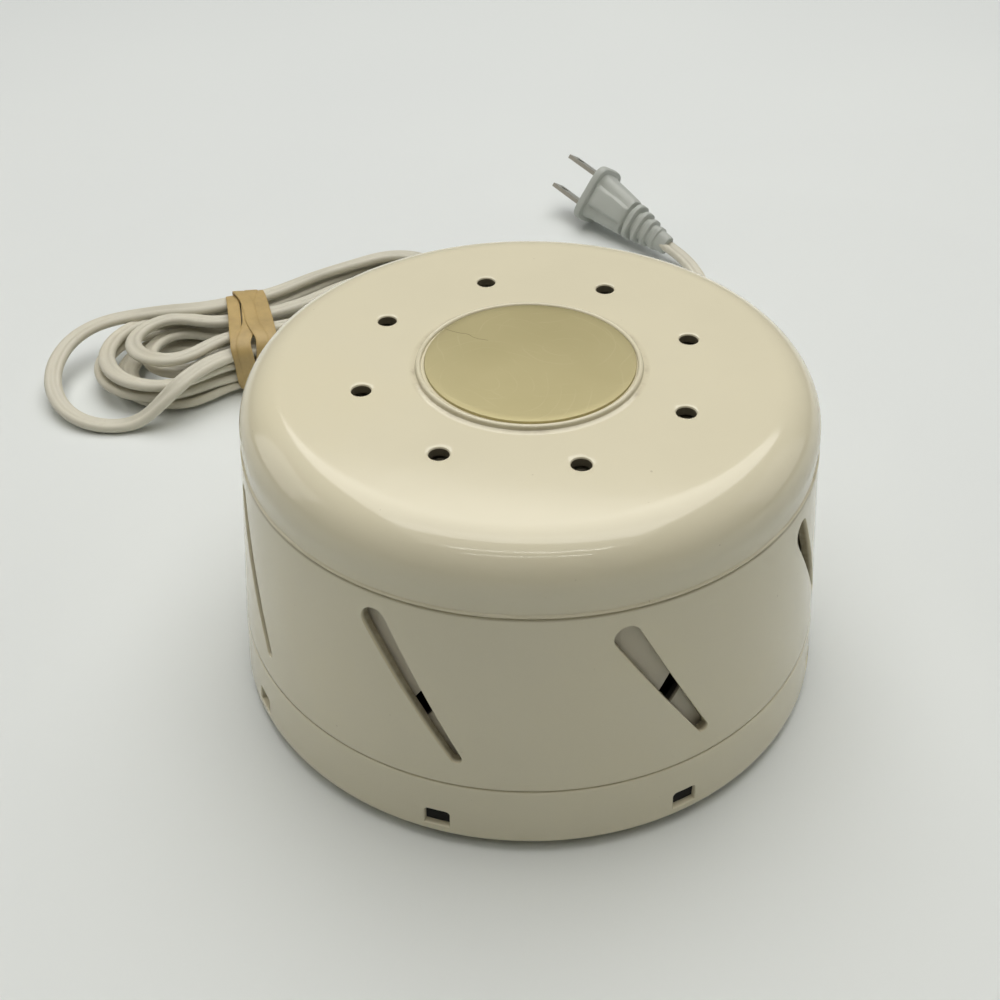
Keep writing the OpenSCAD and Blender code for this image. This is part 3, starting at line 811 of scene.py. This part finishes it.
def housing_dirt_and_shade(w, col):
    """Faint grime round the raised ring and a few specks; painted shade in bands under the cap's lip and along the
    collar-to-base seam, near-black inside the notches and dark down the cap's holes; the slot walls inside the collar
    darkened to a mottled brown.
    """
    x, y, z = w.axis(0), w.axis(1), w.axis(2)
    rad = w.math("SQRT", w.math("ADD", w.math("MULTIPLY", x, x), w.math("MULTIPLY", y, y)))
    ringd = w.math("ABSOLUTE", w.math("SUBTRACT", rad, 0.0264))
    ring = w.math("SUBTRACT", 1.0, w.math("DIVIDE", ringd, 0.0011), clamp=True)
    top = w.math("GREATER_THAN", z, 0.0805)
    patch = w.ramp(w.noise(95, 5, 0.7), [(0.46, (0, 0, 0)), (0.68, (1, 1, 1))])
    f = w.math("MULTIPLY", w.math("MULTIPLY", ring, top), w.math("MULTIPLY_ADD", patch, 0.55, 0.10))
    col = w.mix(f, col, srgb(150, 135, 108))
    # painted shade: darker bands just under the cap's lip and along the collar-to-base seam
    for zc, half, amt in ((0.0652, 0.0004, 0.35), (0.0187, 0.0005, 0.12)):
        d = w.math("SUBTRACT", 1.0, w.math("DIVIDE", w.math("ABSOLUTE", w.math("SUBTRACT", z, zc)), half), clamp=True)
        col = w.mix(w.math("MULTIPLY", d, amt), col, srgb(140, 128, 102))
    speck = w.ramp(w.noise(700, 1), [(0.80, (0, 0, 0)), (0.83, (1, 1, 1))])
    col = w.mix(w.math("MULTIPLY", speck, 0.35), col, srgb(160, 145, 118))
    # the slot walls inside the collar are darkened to a mottled brown; painted shade: near-black deep in the notches
    # and dark down the cap's holes
    deep, rad, zz = inside(w, 0.07362, 0.10344, 0.0003, 0.0008)
    slot_mottle = w.math("MULTIPLY_ADD", w.noise(420, 4, 0.7), 0.5, 0.35)
    f = w.math("MULTIPLY", w.math("MULTIPLY", deep, between(w, zz, 0.0195, 0.0625)), slot_mottle)
    col = w.mix(f, col, srgb(84, 70, 42))
    # painted shade: near-black on all faces deep inside the base wall, filling the notches
    deep, rad, zz = inside(w, 0.07333, 0.0861, 0.0026, 0.0004)
    col = w.mix(w.math("MULTIPLY", deep, w.math("MULTIPLY", between(w, zz, 0.0032, 0.0185), 0.9)), col, srgb(30, 27, 22))
    # painted shade: the walls of the cap's holes are made dark
    hole = w.math("MULTIPLY", between(w, zz, 0.0700, 0.0808), w.math("LESS_THAN", rad, 0.0560))
    col = w.mix(w.math("MULTIPLY", hole, 0.84), col, srgb(66, 58, 40))
    return col


def foil_material():
    w = Mat("gold_foil")

    def swirl(cx, cy, spacing, bend, lo):
        mp = w.n("ShaderNodeMapping")
        mp.inputs["Location"].default_value = (-cx, -cy, 0.0)
        w.link(w.coord, mp.inputs["Vector"])
        warp = w.n("ShaderNodeTexNoise")
        warp.inputs["Scale"].default_value = 70
        warp.inputs["Detail"].default_value = 1
        w.link(w.coord, warp.inputs["Vector"])
        add = w.n("ShaderNodeVectorMath", operation="MULTIPLY_ADD")
        w.link(warp.outputs["Color"], add.inputs[0])
        add.inputs[1].default_value = (bend, bend, 0.0)
        w.link(mp.outputs["Vector"], add.inputs[2])
        x, y = w.axis(0, add.outputs[0]), w.axis(1, add.outputs[0])
        rad = w.math("SQRT", w.math("ADD", w.math("MULTIPLY", x, x), w.math("MULTIPLY", y, y)))
        line = w.math("ABSOLUTE", w.math("SINE", w.math("MULTIPLY", rad, math.pi / spacing)))
        line = w.ramp(line, [(0.0, (1, 1, 1)), (0.16, (0, 0, 0))])
        mask = w.ramp(w.noise(75 + lo * 100, 2), [(0.46, (0, 0, 0)), (0.60, (1, 1, 1))])
        return w.math("MULTIPLY", line, mask)

    line = w.math("MAXIMUM", swirl(-0.006, -0.006, 0.0034, 0.006, 0.1), swirl(0.012, 0.010, 0.0041, 0.008, 0.3))
    base_col = w.ramp(w.noise(25, 3), [(0.3, srgb(176, 166, 123)), (0.7, srgb(187, 177, 135))])
    col = w.mix(w.math("MULTIPLY", line, 0.16), base_col, srgb(214, 206, 168))
    # one fine old scratch
    x, y = w.axis(0), w.axis(1)
    t = w.math("ADD", w.math("MULTIPLY_ADD", x, 0.42, -0.0043), w.math("MULTIPLY", w.math("SUBTRACT", w.noise(120, 2), 0.5), 0.004))
    d = w.math("ABSOLUTE", w.math("ADD", y, t))
    inx = w.math("MULTIPLY", w.math("GREATER_THAN", x, -0.0225), w.math("LESS_THAN", x, -0.0095))
    sc = w.math("MULTIPLY", w.math("LESS_THAN", d, 0.00010), inx)
    col = w.mix(w.math("MULTIPLY", sc, 0.6), col, srgb(105, 95, 66))
    h = w.math("ADD", w.math("MULTIPLY", line, 0.5), w.math("MULTIPLY", w.noise(900, 2), 0.2))
    nrm = w.bump(h, 0.3, 0.00005)
    r = w.math("MULTIPLY_ADD", w.noise(45, 3), 0.10, 0.38)
    return w.set(col, r, nrm, 0.70)


def cord_material():
    w = Mat("cord_vinyl")
    c = srgb(210, 206, 190)
    col = w.ramp(w.noise(30, 4, 0.6), [(0.3, tuple(x * 0.90 for x in c)), (0.55, c), (0.8, (c[0] * 1.03, c[1] * 1.0, c[2] * 0.95))])
    scuff = w.ramp(w.noise(240, 4, 0.7), [(0.60, (0, 0, 0)), (0.75, (1, 1, 1))])
    col = w.mix(w.math("MULTIPLY", scuff, 0.16), col, srgb(150, 140, 124))
    nrm = w.bump(w.noise(1500, 2), 0.15, 0.00004)
    r = w.math("MULTIPLY_ADD", w.noise(90, 2), 0.16, 0.33)
    return w.set(col, r, nrm, Specular_IOR_Level=0.5)


def plug_material():
    w = Mat("plug_vinyl")
    c = srgb(184, 188, 182)
    col = w.ramp(w.noise(40, 4, 0.6), [(0.3, tuple(x * 0.9 for x in c)), (0.6, c)])
    nrm = w.bump(w.noise(1400, 3), 0.22, 0.00005)
    r = w.math("MULTIPLY_ADD", w.noise(120, 2), 0.15, 0.42)
    return w.set(col, r, nrm)


def rubber_material(name, rgb, rough=0.55, streak=0.0, trans=0.0):
    w = Mat(name)
    c = srgb(*rgb)
    col = w.ramp(w.noise(90, 4, 0.65), [(0.3, tuple(x * 0.78 for x in c)), (0.55, c), (0.8, tuple(min(1, x * 1.12) for x in c))])
    nrm = w.bump(w.noise(900, 3), 0.3, 0.00006)
    if streak:
        wv = w.n("ShaderNodeTexWave", wave_type="BANDS", bands_direction="X")
        wv.inputs["Scale"].default_value = 160
        wv.inputs["Distortion"].default_value = 3
        w.link(w.coord, wv.inputs["Vector"])
        nrm = w.bump(wv.outputs["Fac"], streak, 0.00008, nrm)
    r = w.math("MULTIPLY_ADD", w.noise(70, 2), 0.15, rough - 0.07)
    return w.set(col, r, nrm)


def metal(name, rgb, rough=0.3, scale=300, streak_axis=None, metallic=1.0):
    w = Mat(name)
    c = srgb(*rgb)
    col = w.ramp(w.noise(60, 4, 0.6), [(0.3, tuple(x * 0.82 for x in c)), (0.65, c)])
    h = w.noise(scale, 3)
    if streak_axis is not None:
        mp = w.n("ShaderNodeMapping")
        sc = [0.05, 0.05, 0.05]
        sc[streak_axis] = 6.0
        mp.inputs["Scale"].default_value = sc
        w.link(w.coord, mp.inputs["Vector"])
        h = w.noise(scale * 2, 3, 0.6, mp.outputs["Vector"])
    nrm = w.bump(h, 0.2, 0.00005)
    r = w.math("MULTIPLY_ADD", h, 0.2, rough - 0.1)
    return w.set(col, r, nrm, metallic)


def layered(name, rgb, period, axis, rough=0.4, metallic=0.9, depth=0.00012):
    """Stacked sheets or wound wire: fine parallel grooves across one axis."""
    w = Mat(name)
    c = srgb(*rgb)
    v = w.axis(axis)
    s = w.math("SINE", w.math("MULTIPLY", v, 2 * math.pi / period))
    s = w.math("ABSOLUTE", s)
    dark = tuple(x * 0.45 for x in c)
    mixc = w.mix(s, dark, c)
    col = w.mix(w.math("MULTIPLY", w.noise(80, 4), 0.4), mixc, tuple(x * 0.7 for x in c))
    nrm = w.bump(s, 0.6, depth)
    return w.set(col, rough, nrm, metallic)


M = {
    "housing": plastic("cream_plastic", (226, 219, 193), 0.10, 0.018, 0.05, housing_dirt_and_shade),
    "inner": plastic("inner_plastic", (212, 205, 186), 0.4, 0.03, 0.3, inner_painted_shade),
    "feet": rubber_material("black_rubber", (34, 34, 35), 0.7),
    # painted shade: near-black material for the blocks that fill the notches
    "pad": rubber_material("notch_shade_black", (12, 11, 9), 0.9),
    "screw_steel": metal("plated_steel", (176, 176, 172), 0.3, 400),
    "foil": foil_material(),
    "lamination": layered("sheet_stack", (128, 130, 132), 0.0010, 2),
    "copper": layered("enamelled_wire", (176, 98, 48), 0.0007, 0, 0.3, 0.85),
    "nylon": plastic("natural_nylon", (222, 218, 202), 0.5, 0.02, 0.15),
    "bracket": metal("cast_alloy", (186, 188, 190), 0.45, 500),
    "bronze": metal("sinter_bronze", (160, 120, 66), 0.45, 900),
    "shaft_steel": metal("ground_steel", (200, 200, 202), 0.22, 300, 2),
    "fibre": plastic("fibre", (96, 70, 50), 0.7, 0.06, 0.4),
    "fan": plastic("fan_plastic", (226, 226, 220), 0.42, 0.02, 0.15),
    "switch": plastic("switch_plastic", (26, 26, 27), 0.3, 0.02, 0.12),
    "terminal": metal("brass_tab", (205, 172, 96), 0.3, 300),
    "wire": plastic("wire_insulation", (226, 224, 216), 0.35, 0.02, 0.1),
    "cord": cord_material(),
    "band": rubber_material("tan_rubber", (188, 162, 108), 0.5, 0.25),
    "plug": plug_material(),
    "blade": metal("blade_plate", (168, 165, 154), 0.32, 350, 0),
}


def paint(o, mat):
    o.data.materials.clear()
    o.data.materials.append(mat)


slots = {s["node"]: s["material_slot"] for s in frame["record"]["subparts"]}
for n, o in nodes.items():
    if not o.hide_render:
        paint(o, M[slots[n]])
for o, s in ((cord, "cord"), (band, "band"), (plug, "plug"), (relief, "cord"), (cap, "housing"), (collar, "housing"), (base, "housing"), (foil, "foil"), (pads, "pad")):
    paint(o, M[s])

# ------------------------------------------------------------------ floor and light
fl = make("floor", [(-3000, -3000, 0), (3000, -3000, 0), (3000, 3000, 0), (-3000, 3000, 0)], [(0, 1, 2, 3)])
wf = Mat("floor_white")
wf.set(wf.ramp(wf.noise(3, 2), [(0.3, srgb(224, 228, 228)), (0.7, srgb(228, 232, 231))]), 0.75)
paint(fl, wf.m)


def area(name, loc, target, size, power, color=(1, 1, 1), size_y=None):
    d = bpy.data.lights.new(name, "AREA")
    d.energy = power
    d.color = color
    d.shape = "RECTANGLE"
    d.size = size
    d.size_y = size_y or size
    o = bpy.data.objects.new(name, d)
    scene.collection.objects.link(o)
    o.location = loc
    o.rotation_euler = (Vector(target) - Vector(loc)).to_track_quat("-Z", "Y").to_euler()
    return o


area("key", (0.05, 0.46, 1.25), (0, 0.05, 0), 1.4, 15.6, (1.0, 0.99, 0.97))
area("over", (0.0, -0.22, 1.35), (0, 0, 0.08), 1.5, 3.4, (1.0, 0.96, 0.85), 0.9)
area("left", (-1.3, 0.35, 0.55), (0, 0, 0.03), 0.8, 2.1, (1.0, 0.98, 0.93))
area("right", (1.3, 0.35, 0.55), (0, 0, 0.03), 0.8, 1.2, (1.0, 0.98, 0.93))
area("strip_high", (0.0, -0.70, 1.42), (0, 0, 0.08), 1.2, 1.35, (1.0, 0.98, 0.93), 0.018)
area("strip_low", (0.0, -0.92, 1.30), (0, 0, 0.08), 1.0, 0.75, (1.0, 0.98, 0.93), 0.014)
world = bpy.data.worlds.new("world")
world.use_nodes = True
world.node_tree.nodes["Background"].inputs[0].default_value = (1.0, 0.94, 0.82, 1)
world.node_tree.nodes["Background"].inputs[1].default_value = 0.03
scene.world = world
